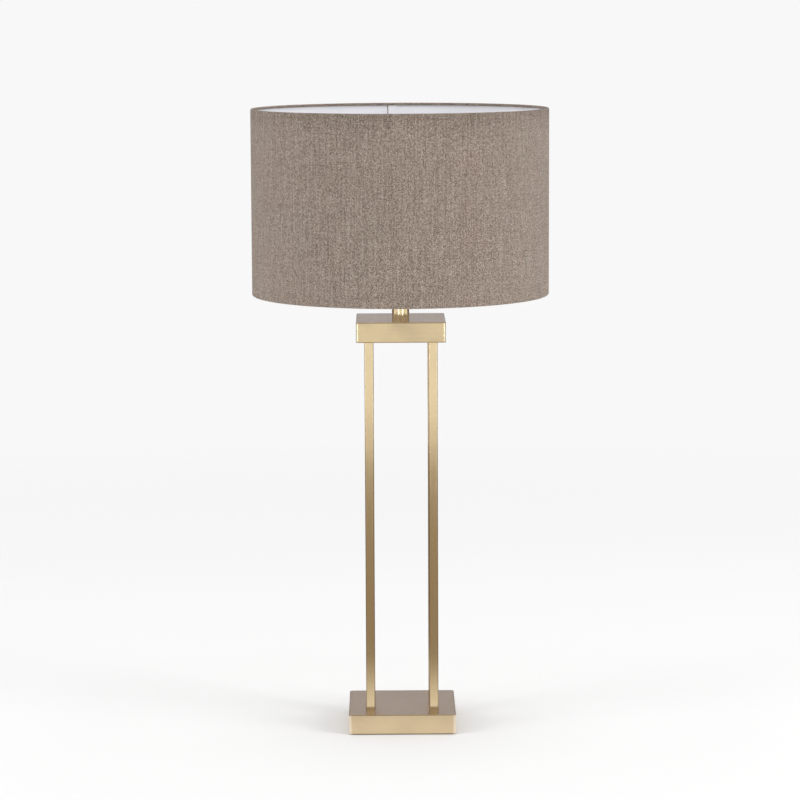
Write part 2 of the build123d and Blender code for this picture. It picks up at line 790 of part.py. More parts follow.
# Skirt, screwed into the cap: a spigot, the shoulder that carries the shade and the ring's thread
with BuildPart() as holder_skirt:
    with BuildSketch(Plane.XY.offset(disc_top)):
        Circle(cap_inside_radius - push_fit)
    extrude(amount=cap_top - disc_top)
    with BuildSketch(Plane.XY.offset(cap_top)):
        Circle(shoulder_radius)
    extrude(amount=shoulder_thickness)
    with BuildSketch(Plane.XY.offset(shoulder_top)):
        Circle(skirt_radius)
    extrude(amount=skirt_length)
    chamfer(holder_skirt.edges().group_by(Axis.Z)[-1], skirt_lip_chamfer)
    with BuildSketch(Plane.XY.offset(disc_top)):
        Circle(skirt_bore_radius)
    extrude(amount=skirt_top - disc_top, mode=Mode.SUBTRACT)
holder_skirt.part.label = "holder_skirt"
export_step(holder_skirt.part, "parts/holder_skirt.step")

# Push bar of the switch, pushed through the lampholder from either side
with BuildPart() as switch_bar:
    with BuildSketch(Plane.YZ.offset(-bar_length / 2 - bar_travel / 2)):
        with Locations((-bar_offset, holder_bottom + bar_height)):
            Circle(bar_radius)
    extrude(amount=bar_length)
    chamfer(switch_bar.edges().filter_by(GeomType.CIRCLE), bar_end_chamfer)
switch_bar.part.label = "switch_bar"
export_step(switch_bar.part, "parts/switch_bar.step")

# Retaining ring, screwed down on the shade's hub
with BuildPart() as shade_ring:
    with BuildSketch(Plane.XY.offset(hub_top)):
        Circle(ring_flange_radius)
    extrude(amount=ring_flange_thickness)
    with BuildSketch(Plane.XY.offset(hub_top + ring_flange_thickness)):
        Circle(ring_collar_radius)
    extrude(amount=ring_collar_height)
    chamfer(shade_ring.edges().group_by(Axis.Z)[-1], ring_edge_chamfer)
    with BuildSketch(Plane.XY.offset(hub_top + ring_flange_thickness)):
        with PolarLocations(ring_collar_radius, ring_grips):
            Circle(ring_grip_radius)
    extrude(amount=ring_collar_height, mode=Mode.SUBTRACT)
    with BuildSketch(Plane.XY.offset(hub_top)):
        Circle(skirt_radius + slide_fit)
    extrude(amount=ring_flange_thickness + ring_collar_height, mode=Mode.SUBTRACT)
shade_ring.part.label = "shade_ring"
export_step(shade_ring.part, "parts/shade_ring.step")

# Rings of square wire that hold the drum round, inside its hems
wire_heights = {"lower_ring": lower_wire_height, "upper_ring": upper_wire_height}
for name, height in wire_heights.items():
    with BuildPart() as wire_ring:
        with BuildSketch(upright(height)):
            with Locations((shade_wire_reach, 0)):
                Rectangle(shade_wire, shade_wire)
        revolve(axis=Axis.Z)
    wire_ring.part.label = name
    export_step(wire_ring.part, f"parts/{name}.step")

# Fitter, a flat hub on three wire arms that drop to the lower ring
arm_end = shade_wire_reach - shade_wire / 2 - push_fit
hub_middle = shoulder_top + hub_thickness / 2
arm_angles = [arm_start + 360 * i / arm_count for i in range(arm_count)]
with BuildPart() as shade_fitter:
    with BuildSketch(Plane.XY.offset(shoulder_top)):
        Circle(hub_radius)
    extrude(amount=hub_thickness)
    for angle in arm_angles:
        with BuildLine(arm_plane(angle)) as arm_line:
            FilletPolyline(
                (hub_radius - shade_wire, hub_middle),
                (hub_radius + arm_hub_run, hub_middle),
                (arm_end - arm_rim_run, lower_wire_height),
                (arm_end, lower_wire_height),
                radius=arm_bend_radius,
            )
        with BuildSketch(Plane(arm_line.line @ 0, z_dir=arm_line.line % 0)):
            Rectangle(shade_wire, shade_wire)
        sweep()
    with BuildSketch(Plane.XY.offset(shoulder_top)):
        Circle(hub_bore_radius)
    extrude(amount=hub_thickness, mode=Mode.SUBTRACT)
shade_fitter.part.label = "shade_fitter"
export_step(shade_fitter.part, "parts/shade_fitter.step")

# Shade cover, a cloth wall folded inwards over the wire rings
hem_width = 2 * wire_inset
hem_inner_radius = shade_radius - hem_width
with BuildPart() as shade_cover:
    with BuildSketch(upright(shade_bottom)):
        with Locations((shade_radius, 0)):
            Rectangle(cover_cloth, shade_height, align=(Align.MAX, Align.MIN))
            Rectangle(hem_width, cover_cloth, align=(Align.MAX, Align.MIN))
        with Locations((shade_radius, shade_height)):
            Rectangle(hem_width, cover_cloth, align=(Align.MAX, Align.MAX))
        with Locations((hem_inner_radius, 0)):
            Rectangle(cover_cloth, hem_height, align=(Align.MIN, Align.MIN))
        with Locations((hem_inner_radius, shade_height)):
            Rectangle(cover_cloth, hem_height, align=(Align.MIN, Align.MAX))
    revolve(axis=Axis.Z)
    with BuildSketch(Plane.XY.offset(shade_bottom + cover_cloth)):
        with PolarLocations(shade_wire_reach, arm_count, start_angle=arm_start):
            Rectangle(hem_width, shade_wire + 2 * free_gap, align=(Align.MAX, Align.CENTER))
    extrude(amount=hem_height, mode=Mode.SUBTRACT)
shade_cover.part.label = "shade_cover"
export_step(shade_cover.part, "parts/shade_cover.step")

# Lining between the rings
lining_bottom = lower_wire_height + shade_wire / 2 + slide_fit
lining_top = upper_wire_height - shade_wire / 2 - slide_fit
with BuildPart() as shade_lining:
    with BuildSketch(Plane.XY.offset(lining_bottom)):
        Circle(lining_radius)
        Circle(lining_radius - lining_thickness, mode=Mode.SUBTRACT)
    extrude(amount=lining_top - lining_bottom)
shade_lining.part.label = "shade_lining"
export_step(shade_lining.part, "parts/shade_lining.step")

# Bulb, from its end contact up
insulator_top = bulb_contact_height + bulb_insulator_height
bulb_cap_top = insulator_top + bulb_cap_length
cap_bore = bulb_cap_radius - bulb_cap_wall
with BuildPart() as bulb_contact:
    with BuildSketch(Plane.XY.offset(bulb_bottom)):
        Circle(bulb_contact_radius)
    extrude(amount=bulb_contact_height)
bulb_contact.part.label = "bulb_contact"
export_step(bulb_contact.part, "parts/bulb_contact.step")

with BuildPart() as bulb_insulator:
    with BuildSketch(upright(bulb_bottom)):
        with BuildLine():
            Polyline(
                (0, bulb_contact_height),
                (bulb_insulator_foot_radius, bulb_contact_height),
                (bulb_insulator_top_radius, insulator_top),
                (0, insulator_top),
                close=True,
            )
        make_face()
    revolve(axis=Axis.Z)
bulb_insulator.part.label = "bulb_insulator"
export_step(bulb_insulator.part, "parts/bulb_insulator.step")

collar_bottom = bulb_cap_top - bulb_collar_height
with BuildPart() as bulb_cap:
    with BuildSketch(upright(bulb_bottom)):
        with BuildLine():
            Polyline(
                (bulb_cap_radius - bulb_cap_lip, insulator_top),
                (bulb_cap_radius, insulator_top),
                (bulb_cap_radius, collar_bottom - bulb_collar_slope),
                (bulb_collar_radius, collar_bottom),
                (bulb_collar_radius, bulb_cap_top),
                (bulb_collar_radius - bulb_cap_wall, bulb_cap_top),
                (bulb_collar_radius - bulb_cap_wall, collar_bottom),
                (cap_bore, collar_bottom - bulb_collar_slope),
                (cap_bore, insulator_top + bulb_cap_wall),
                (bulb_cap_radius - bulb_cap_lip, insulator_top + bulb_cap_wall),
                close=True,
            )
        make_face()
    revolve(axis=Axis.Z)
bulb_cap.part.label = "bulb_cap"
export_step(bulb_cap.part, "parts/bulb_cap.step")

# Glass of the bulb, swelling from the cap and drawn out to a tip
glass_foot_width = 2 * (cap_bore - push_fit)
glass_foot = collar_bottom - bulb_collar_slope - glass_bury
glass_tip_height = bulb_length - glass_tip_radius
with BuildPart() as bulb_glass:
    for inset, mode in ((0, Mode.ADD), (glass_thickness, Mode.SUBTRACT)):
        with BuildSketch(upright(bulb_bottom)):
            with Locations((0, bulb_cap_top + glass_belly_height)):
                Circle(glass_radius - inset)
            with Locations((0, glass_tip_height)):
                Circle(glass_tip_radius - inset)
            with Locations((0, bulb_cap_top)):
                Rectangle(glass_foot_width - 2 * inset, glass_neck_height)
            make_hull()
            with Locations((0, glass_foot)):
                Rectangle(
                    glass_foot_width - 2 * inset,
                    bulb_cap_top - glass_foot,
                    align=(Align.CENTER, Align.MIN),
                )
            split(bisect_by=Plane.YZ)
        revolve(axis=Axis.Z, mode=mode)
bulb_glass.part.label = "bulb_glass"
export_step(bulb_glass.part, "parts/bulb_glass.step")

# Stem on its flange inside the glass, and the filaments that lean out from its top
stem_top = glass_foot + stem_length
with BuildPart() as bulb_stem:
    with BuildSketch(Plane.XY.offset(bulb_bottom + glass_foot)):
        Circle(glass_foot_width / 2 - glass_thickness - push_fit)
    extrude(amount=stem_flange_thickness)
    with BuildSketch(Plane.XY.offset(bulb_bottom + glass_foot)):
        Circle(stem_radius)
    extrude(amount=stem_length)
bulb_stem.part.label = "bulb_stem"
export_step(bulb_stem.part, "parts/bulb_stem.step")

with BuildPart() as bulb_filaments:
    with BuildSketch(Plane.XY.offset(bulb_bottom + stem_top)):
        Circle(stem_radius)
    extrude(amount=filament_hub_height)
    for i in range(filament_count):
        lean = Vector(0, 0, 1).rotate(Axis.Y, filament_lean).rotate(Axis.Z, 360 * i / filament_count)
        foot = Vector(lean.X, lean.Y, 0).normalized() * (stem_radius - filament_radius)
        middle = Vector(0, 0, bulb_bottom + stem_top + filament_hub_height / 2)
        with BuildSketch(Plane(foot + middle, z_dir=lean)):
            Circle(filament_radius)
        extrude(amount=filament_length)
bulb_filaments.part.label = "bulb_filaments"
export_step(bulb_filaments.part, "parts/bulb_filaments.step")

# Internal lead: out of the terminal block, up the back left rod, across the block, up the nipple
lead_low = cover_top + lead_floor_gap + lead_thickness / 2
lead_high = (rod_top + nipple_bottom) / 2
lead_top = boss_top + lead_head_length
lead_start = terminal_reach + terminal_length / 2 + lead_bare_length
low_bend_radius = rod_bottom - lead_low - lead_bend_slack
high_bend_radius = (nipple_bottom - rod_top) / 2 - lead_bend_slack
with BuildPart() as internal_lead:
    with BuildLine(lead_plane) as lead_line:
        FilletPolyline(
            (lead_start, lead_low),
            (leg_reach, lead_low),
            (leg_reach, lead_high),
            (0, lead_high),
            (0, lead_top),
            radius=(low_bend_radius, high_bend_radius, high_bend_radius),
        )
    with BuildSketch(lead_face(lead_start, lead_low)):
        Rectangle(lead_width, lead_thickness)
    sweep()
internal_lead.part.label = "internal_lead"
export_step(internal_lead.part, "parts/internal_lead.step")

# Bared cores of the lead, in the terminal block below and in the lampholder's posts above
terminal_face = terminal_reach + terminal_length / 2
core_step = lead_core_spacing / 2
pole_step = terminal_pitch / 2
core_top = post_terminal_bottom + post_bore_depth - push_fit
with BuildPart() as lead_cores_lower:
    for side in (-1, 1):
        with BuildLine() as core_line:
            Polyline(
                lead_point(lead_start, side * core_step, lead_low),
                lead_point(lead_start - core_lead_out, side * core_step, lead_low),
                lead_point(terminal_face + core_lead_out, side * pole_step, terminal_wire_height),
                lead_point(terminal_face - lead_entry_depth, side * pole_step, terminal_wire_height),
            )
        with BuildSketch(Plane(core_line.line @ 0, z_dir=core_line.line % 0)):
            Circle(lead_core_radius)
        sweep(transition=Transition.RIGHT)
lead_cores_lower.part.label = "lead_cores_lower"
export_step(lead_cores_lower.part, "parts/lead_cores_lower.step")

with BuildPart() as lead_cores_upper:
    for side in (-1, 1):
        with BuildLine() as core_line:
            Polyline(
                lead_point(0, side * core_step, lead_top),
                lead_point(0, side * core_step, lead_top + core_lead_out / 2),
                lead_point(0, side * post_terminal_offset, post_terminal_bottom - core_lead_out / 2),
                lead_point(0, side * post_terminal_offset, core_top),
            )
        with BuildSketch(Plane(core_line.line @ 0, z_dir=core_line.line % 0)):
            Circle(lead_core_radius)
        sweep(transition=Transition.RIGHT)
lead_cores_upper.part.label = "lead_cores_upper"
export_step(lead_cores_upper.part, "parts/lead_cores_upper.step")
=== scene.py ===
import json
import math
from collections import namedtuple

import bpy
from mathutils import Matrix, Vector


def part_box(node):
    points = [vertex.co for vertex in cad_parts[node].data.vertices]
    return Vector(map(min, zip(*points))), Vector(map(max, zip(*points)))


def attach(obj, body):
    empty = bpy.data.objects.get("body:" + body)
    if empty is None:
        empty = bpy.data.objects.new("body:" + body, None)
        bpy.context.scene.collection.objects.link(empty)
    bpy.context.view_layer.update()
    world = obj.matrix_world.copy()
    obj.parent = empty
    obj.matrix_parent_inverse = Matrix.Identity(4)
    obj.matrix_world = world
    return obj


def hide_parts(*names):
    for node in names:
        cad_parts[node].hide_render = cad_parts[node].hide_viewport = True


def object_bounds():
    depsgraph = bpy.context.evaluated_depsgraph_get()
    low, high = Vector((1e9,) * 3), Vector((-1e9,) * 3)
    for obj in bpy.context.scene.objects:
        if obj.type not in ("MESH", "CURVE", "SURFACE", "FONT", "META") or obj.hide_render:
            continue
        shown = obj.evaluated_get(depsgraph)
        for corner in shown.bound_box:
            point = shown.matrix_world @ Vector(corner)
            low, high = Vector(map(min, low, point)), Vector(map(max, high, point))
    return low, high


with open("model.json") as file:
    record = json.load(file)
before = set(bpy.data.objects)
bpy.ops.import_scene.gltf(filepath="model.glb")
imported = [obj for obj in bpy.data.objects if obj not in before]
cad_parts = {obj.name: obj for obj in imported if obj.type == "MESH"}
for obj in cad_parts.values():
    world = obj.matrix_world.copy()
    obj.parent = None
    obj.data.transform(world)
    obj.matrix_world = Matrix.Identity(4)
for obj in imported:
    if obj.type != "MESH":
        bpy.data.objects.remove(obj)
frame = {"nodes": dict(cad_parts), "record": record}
cad_bounds = [list(corner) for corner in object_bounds()]

# Column table lamp with a linen drum shade, dressed in metres around the solid parts

# Sizes taken from the solid parts
cover_low, cover_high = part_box("shade_cover")
lining_low, lining_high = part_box("shade_lining")
ring_low, ring_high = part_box("lower_ring")
leg_low, leg_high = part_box("leg_front_right")
block_low, block_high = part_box("block_shell")
base_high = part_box("base_shell")[1]
glass_low, glass_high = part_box("bulb_glass")
cap_low, cap_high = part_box("bulb_cap")
skirt_low, skirt_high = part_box("holder_skirt")
holder_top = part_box("holder_cap")[1].z
shade_radius = cover_high.x
shade_bottom = cover_low.z
shade_top = cover_high.z
wire_width = ring_high.z - ring_low.z
hem_width = 2 * (shade_radius - ring_high.x) + wire_width

# Cloth of the shade
cloth_thickness = 0.00045
hem_roll = hem_width / 2
hem_fold = 0.0035
hem_steps = 14
cover_segments = 720
cover_rows = 64
lining_thickness = 0.0006
lining_segments = 360
lining_rows = 24
lining_radius = lining_high.x - lining_thickness
seam_angle = math.radians(94.3)
seam_width = 0.012
seam_rise = 0.0008
seam_columns = 8
seam_rows = 40
seam_soft_edge = 0.55
lining_lap_rise = 0.0005
cut_rise = 0.0007
cut_width = 0.0012
lap_margin = 0.0005
lap_side_patch = [(0, 0), (0, 0.005), (0.0005, 0.005), (0.0005, 0)]

# Bulb: the glass is blown thin, and its cap is sheet rolled to a thread
glass_wall = 0.0008
glass_foot_radius = 0.0127
glass_belly_rise = 0.022
glass_neck_radius = 0.0030
glass_neck_drop = 0.003
glass_point_radius = 0.00002
bulb_segments = 96
sleeve_radius = 0.0132
cap_sheet = 0.0004
cap_curl = 0.0015
cap_foot_radius = sleeve_radius - 0.0025
cap_thread_rows = 96
cap_thread_pitch = 0.00363
cap_thread_depth = 0.0011
cap_thread_low = cap_low.z + 0.0022
cap_thread_high = cap_high.z - 0.0045

# Lampholder's skirt: a spigot, a shoulder for the shade's fitter and a thread for its ring
skirt_bore = 0.015
spigot_radius = 0.0174
skirt_radius = 0.0198
skirt_chamfer = 0.0008
bore_chamfer = 0.0005
shoulder_top = holder_top + 0.004
shoulder_round = 0.0006
shoulder_groove = 0.0003
skirt_segments = 120
skirt_thread_rows = 110
skirt_thread_pitch = 0.0031
skirt_thread_depth = 0.0009
skirt_thread_low = shoulder_top + 0.0022
skirt_thread_high = skirt_high.z - 0.0012

# Weave of the linen: lengths of the runs of tone are counted in threads, tones from 0 to 1
thread_pitch = 0.0007
yarn_gap = 7.31
warp_layer = 0.5
weft_layer = 9.5
melange_run = 0.55
melange_depth = 0.84
hue_run = 1.7 * melange_run
slub_run = 60.0
warp_slub = 0.17
weft_slub = 0.07
yarn_reach = 0.3
fibres_per_metre = 6500
fibre_depth = 0.05
# Painted shade in the gaps of the weave, and a painted highlight on the crowns of the yarns
painted_gap_shade = -0.16
painted_crown_highlight = 0.03
# Painted shade: the linen darkens just under its top rim
painted_rim_shade = 0.07
painted_rim_shade_low = shade_top - 0.030
painted_rim_shade_high = shade_top - 0.004
linen_tones = ((0.35, (123, 108, 98)), (0.55, (161, 146, 135)), (1.0, (233, 225, 217)))
linen_shadow = (58, 48, 41)
linen_warm = (255, 245, 241)
linen_cool = (250, 252, 245)

# Brass: colours in linear light, brushing in lines per metre along each axis
leg_colour = (0.87, 0.70, 0.43, 1.0)
# The base is the same brass as block and legs, given a darker copy: painted shade
shaded_base_colour = (0.745, 0.59, 0.378, 1.0)
block_colour = (0.82, 0.655, 0.40, 1.0)
neck_colour = (0.84, 0.68, 0.40, 1.0)
turned_colour = (0.78, 0.58, 0.26, 1.0)
lengthwise = (1100, 1100, 9)
crosswise = (12, 900, 900)
round_about = (150, 150, 1500)
cloud_shade = (0.93, 0.93, 0.93)
# Painted highlights on the upright edges of base, block and legs; painted shade on the level edges and as
# the outline of each leg
painted_edge_highlight = (1.30, 1.44, 1.8)
painted_leg_highlight = (1.08, 1.10, 1.18)
edge_shade = (0.42, 0.35, 0.28)
edge_line = 0.0015
outline_shade = (0.42, 0.37, 0.33)
outline_width = 0.0013

# Camera, fitted to the photograph
camera_distance = 4.0
camera_height = 0.991
camera_azimuth = math.radians(-0.366)
camera_pitch = math.radians(7.74)
camera_roll = math.radians(-0.239)
camera_yaw_trim = math.radians(0.018)
photo_width = 800
focal_pixels = 2975.0
sensor_width = 36.0

# Levels of the world, the floor, and cards that only the metal mirrors: each a ring between two circles,
# given as (radius, height)
background_level = 0.939
ambient_level = 0.63
floor_albedo = 0.92
floor_radius = 2.8
floor_fade = (1.2, 2.6)
floor_overlap = 0.004
circle_steps = 96
whole_circle = (0, circle_steps)
back_of_circle = (4, 44)
Card = namedtuple("Card", "name first second colour fade_in sector")
cards = (
    Card("card_low", (0.12, 0.001), (2.54, 0.001), (0.28, 0.232, 0.182, 1.0), (0.12, 0.50), whole_circle),
    Card("card_wall", (3.2, 0.38), (3.2, 2.1), (0.41, 0.41, 0.48, 1.0), None, whole_circle),
    Card("card_back", (3.2, 0.02), (3.2, 0.38), (0.17, 0.13, 0.09, 1.0), None, back_of_circle),
)

# Lights: wide ones that the metal doesn't mirror, and narrow ones that give it its highlights
lamp_middle = (0, 0, (shade_top + cad_bounds[0][2]) / 2)
legs_middle = (0, 0, 0.5)
Light = namedtuple("Light", "name place aim width height power")
wide_lights = (
    Light("light_left", (-5.3, -2.8, 2.2), lamp_middle, 2.8, 3.6, 138.0),
    Light("light_right", (5.3, -2.8, 2.2), lamp_middle, 2.8, 3.6, 195.0),
    Light("light_top", (0, 0.5, 6.0), lamp_middle, 4.5, 4.5, 84.0),
)
strip_lights = (
    Light("strip_left", (-1.5, -2.9, 0.85), legs_middle, 0.35, 1.7, 13.0),
    Light("strip_right", (1.5, -2.9, 0.85), legs_middle, 0.35, 1.7, 13.0),
)


class Nodes:
    """A node tree under construction, with short ways to add and link its nodes."""

    def __init__(self, tree):
        self.tree = tree

    def put(self, socket, value):
        """Sets a socket to a number or colour, or links it to another socket."""
        if isinstance(value, bpy.types.NodeSocket):
            self.tree.links.new(value, socket)
        else:
            socket.default_value = value

    def node(self, kind, inputs=None, **settings):
        made = self.tree.nodes.new(kind)
        for key, value in settings.items():
            setattr(made, key, value)
        for key, value in (inputs or {}).items():
            self.put(made.inputs[key], value)
        return made

    def math(self, operation, first, second=0.0):
        return self.node("ShaderNodeMath", {0: first, 1: second}, operation=operation).outputs[0]

    def mix(self, factor, first, second, blend="MIX"):
        """Mixes two colours."""
        inputs = {0: factor, 6: first, 7: second}
        return self.node("ShaderNodeMix", inputs, data_type="RGBA", blend_type=blend).outputs[2]

    def blend(self, factor, first, second):
        """Mixes two numbers."""
        inputs = {0: factor, 2: first, 3: second}
        return self.node("ShaderNodeMix", inputs, data_type="FLOAT").outputs[0]

    def remap(self, value, low, high, to_low, to_high):
        inputs = dict(enumerate((value, low, high, to_low, to_high)))
        return self.node("ShaderNodeMapRange", inputs).outputs[0]

    def spread(self, noise, to_low, to_high, reach=0.2):
        """Spreads noise, most of which lies within reach of a half, over a range."""
        return self.remap(noise, 0.5 - reach, 0.5 + reach, to_low, to_high)

    def separate(self, vector):
        return self.node("ShaderNodeSeparateXYZ", {0: vector}).outputs

    def combine(self, x, y, z):
        return self.node("ShaderNodeCombineXYZ", {0: x, 1: y, 2: z}).outputs[0]

    def length(self, vector):
        return self.node("ShaderNodeVectorMath", {0: vector}, operation="LENGTH").outputs["Value"]

    def noise(self, vector, scale, detail=2.0, roughness=0.5):
        inputs = {"Vector": vector, "Scale": scale, "Detail": detail, "Roughness": roughness}
        return self.node("ShaderNodeTexNoise", inputs).outputs["Fac"]

    def stretch(self, vector, scale, offset=(0, 0, 0)):
        inputs = {"Vector": vector, "Scale": scale, "Location": offset}
        return self.node("ShaderNodeMapping", inputs).outputs[0]


class Shader(Nodes):
    """A material under construction."""

    def __init__(self, name):
        self.material = bpy.data.materials.new(name)
        self.material.use_nodes = True
        super().__init__(self.material.node_tree)
        self.surface = self.tree.nodes["Principled BSDF"]

    def place(self):
        """The point in the lamp's own frame, in metres."""
        return self.node("ShaderNodeTexCoord").outputs["Object"]

    def facing(self):
        """The direction that the surface looks in."""
        return self.separate(self.node("ShaderNodeTexCoord").outputs["Normal"])

    def bump(self, height, distance, strength):
        inputs = {"Height": height, "Distance": distance, "Strength": strength}
        return self.node("ShaderNodeBump", inputs).outputs[0]

    def set(self, **inputs):
        for key, value in inputs.items():
            self.put(self.surface.inputs[key.replace("_", " ")], value)
        return self.material


def rgb(red, green, blue):
    """A display colour from 0 to 255 as linear light."""
    linear = []
    for level in (red / 255, green / 255, blue / 255):
        linear.append(level / 12.92 if level <= 0.04045 else ((level + 0.055) / 1.055) ** 2.4)
    return (*linear, 1.0)


def scaled(colour, factors):
    """A colour with each channel multiplied."""
    return tuple(min(1.0, channel * factor) for channel, factor in zip(colour[:3], factors)) + (1.0,)


class Weave:
    """A plain weave on a map in metres: which yarn is on top, and the tones that run along the yarns."""

    def __init__(self, s, cloth):
        self.s = s
        threads = s.separate(s.stretch(cloth, (1 / thread_pitch,) * 3))
        self.across, self.along = threads[0], threads[1]
        column, row = s.math("FLOOR", self.across), s.math("FLOOR", self.along)
        self.warp_over = s.math("FLOORED_MODULO", s.math("ADD", column, row), 2.0)
        self.warp_own = s.math("MULTIPLY", column, yarn_gap)
        self.weft_own = s.math("MULTIPLY", row, yarn_gap)

    def tone(self, run, detail):
        """Noise of its own on each yarn, in runs of so many threads."""
        s = self.s
        warp = s.combine(self.warp_own, s.math("MULTIPLY", self.along, 1 / run), warp_layer)
        weft = s.combine(s.math("MULTIPLY", self.across, 1 / run), self.weft_own, weft_layer)
        return s.blend(self.warp_over, s.noise(weft, 1.0, detail), s.noise(warp, 1.0, detail))

    def hump(self):
        """The height of the yarn that is on top, 0 in the gaps and 1 on its crown."""
        s = self.s
        across = s.math("SINE", s.math("MULTIPLY", s.math("FRACT", self.across), math.pi))
        along = s.math("SINE", s.math("MULTIPLY", s.math("FRACT", self.along), math.pi))
        return s.math("POWER", s.math("MULTIPLY", across, along), 0.6)


def linen_tone(s, weave, hump, fibre):
    """How light the linen is: melange and slubs of the yarns, fibres, painted shade in the gaps, and painted
    shade under the rim.
    """
    slub = s.math("MULTIPLY", s.spread(weave.tone(slub_run, 0.0), -1, 1, yarn_reach),
                  s.blend(weave.warp_over, weft_slub, warp_slub))
    melange = s.spread(weave.tone(melange_run, 2.0), -melange_depth, melange_depth, yarn_reach)
    tone = s.math("ADD", melange, slub)
    tone = s.math("ADD", tone, s.spread(fibre, -fibre_depth, fibre_depth))
    # Painted shade in the gaps between the yarns, and a painted highlight on their crowns
    tone = s.math("ADD", s.math("ADD", tone, 0.5), s.remap(hump, 0, 1, painted_gap_shade, painted_crown_highlight))
    # Painted shade on the linen just under its top rim
    height = s.separate(s.place())[2]
    return s.math("SUBTRACT", tone, s.remap(height, painted_rim_shade_low, painted_rim_shade_high, 0, painted_rim_shade))


def linen():
    """Plain woven melange yarn: each thread has its own run of tones, and some run darker or lighter."""
    s = Shader("linen_melange")
    cloth = s.node("ShaderNodeUVMap", uv_map="weave").outputs[0]
    weave = Weave(s, cloth)
    hump = weave.hump()
    fibre = s.noise(s.stretch(cloth, (fibres_per_metre, fibres_per_metre, 1)), 1.0, 2.0)
    ramp = s.node("ShaderNodeValToRGB", {0: linen_tone(s, weave, hump, fibre)})
    stops = ramp.color_ramp.elements
    stops.remove(stops[1])
    stops[0].position = 0.0
    stops[0].color = rgb(*linen_shadow)
    for position, colour in linen_tones:
        stops.new(position).color = rgb(*colour)
    cloud = s.noise(s.stretch(cloth, (22, 14, 1)), 1.0, 3.0)
    hue = weave.tone(hue_run, 0.0)
    warmth = s.math("ADD", s.spread(cloud, 0, 0.5, 0.15), s.spread(hue, 0, 0.5))
    tint = s.mix(warmth, rgb(*linen_warm), rgb(*linen_cool))
    relief = s.math("ADD", hump, s.math("MULTIPLY", fibre, 0.35))
    return s.set(
        Base_Color=s.mix(1.0, ramp.outputs[0], tint, "MULTIPLY"),
        Roughness=0.92,
        Specular_IOR_Level=0.25,
        Sheen_Weight=0.16,
        Sheen_Roughness=0.45,
        Sheen_Tint=rgb(226, 224, 222),
        Normal=s.bump(relief, 0.00022, 0.9),
    )


def lining():
    """Smooth laminated lining, cool white, with a faint fibre and soft unevenness."""
    s = Shader("lining_white")
    fibres = s.noise(s.stretch(s.place(), (900, 900, 300)), 1.0, 3.0)
    cloud = s.noise(s.place(), 18.0, 2.0)
    level = s.math("ADD", s.math("MULTIPLY", fibres, 0.3), s.math("MULTIPLY", cloud, 0.7))
    return s.set(
        Base_Color=s.mix(s.spread(level, 0, 1), rgb(227, 227, 232), rgb(239, 239, 243)),
        Roughness=s.spread(fibres, 0.45, 0.62),
        Normal=s.bump(fibres, 0.00006, 0.5),
    )


# A square part about the lamp's axis, or four of them about centre: its half width, its lowest and highest
# point, the width of its painted edge highlights, the factors of their colour, and whether it is a leg
Form = namedtuple("Form", "centre half low high rubbed rub leg")


def brushing(s, place, grain):
    """Coarse and fine brush lines."""
    lines = s.noise(s.stretch(place, grain), 1.0, 4.0, 0.6)
    fine = s.noise(s.stretch(place, tuple(3.1 * g for g in grain), (3, 1, 2)), 1.0, 2.0, 0.6)
    return s.math("ADD", s.math("MULTIPLY", lines, 0.6), s.math("MULTIPLY", fine, 0.4))


def near_sides(s, point, form, width):
    """How near a point is to the sides across X and to those across Y, rising to 1 within a width."""
    near = []
    for axis in (0, 1):
        away = s.math("ABSOLUTE", s.math("SUBTRACT", s.math("ABSOLUTE", point[axis]), form.centre))
        near.append(s.remap(away, form.half - width, form.half - 0.4 * width, 0, 1))
    return near


def painted_edges(s, place, facing, base, colour, form):
    """Paints highlights on the upright edges, a dark outline of painted shade on a leg, and painted shade on
    the level edges of base and block.
    """
    point = s.separate(place)
    near = near_sides(s, point, form, form.rubbed)
    waver = s.spread(s.noise(place, 160.0, 2.0), 0.8, 1.0)
    # Painted highlight along the upright edges
    rubbed = s.math("MULTIPLY", s.math("MULTIPLY", *near), waver)
    base = s.mix(rubbed, base, scaled(colour, form.rub))
    if form.leg:
        # Painted shade along the outer edges of a leg
        outline = s.math("MULTIPLY", *near_sides(s, point, form, outline_width))
        return s.mix(outline, base, scaled(colour, outline_shade))
    # Painted shade along the level edges of base and block
    half_height = (form.high - form.low) / 2
    away = s.math("ABSOLUTE", s.math("SUBTRACT", point[2], (form.low + form.high) / 2))
    rim = s.remap(away, half_height - edge_line, half_height - 0.4 * edge_line, 0, 1)
    rim = s.math("MULTIPLY", rim, s.math("MAXIMUM", *near))
    rim = s.math("MULTIPLY", rim, s.remap(facing[2], 0.6, 0.95, 1.0, 0.15))
    return s.mix(rim, base, scaled(colour, edge_shade))


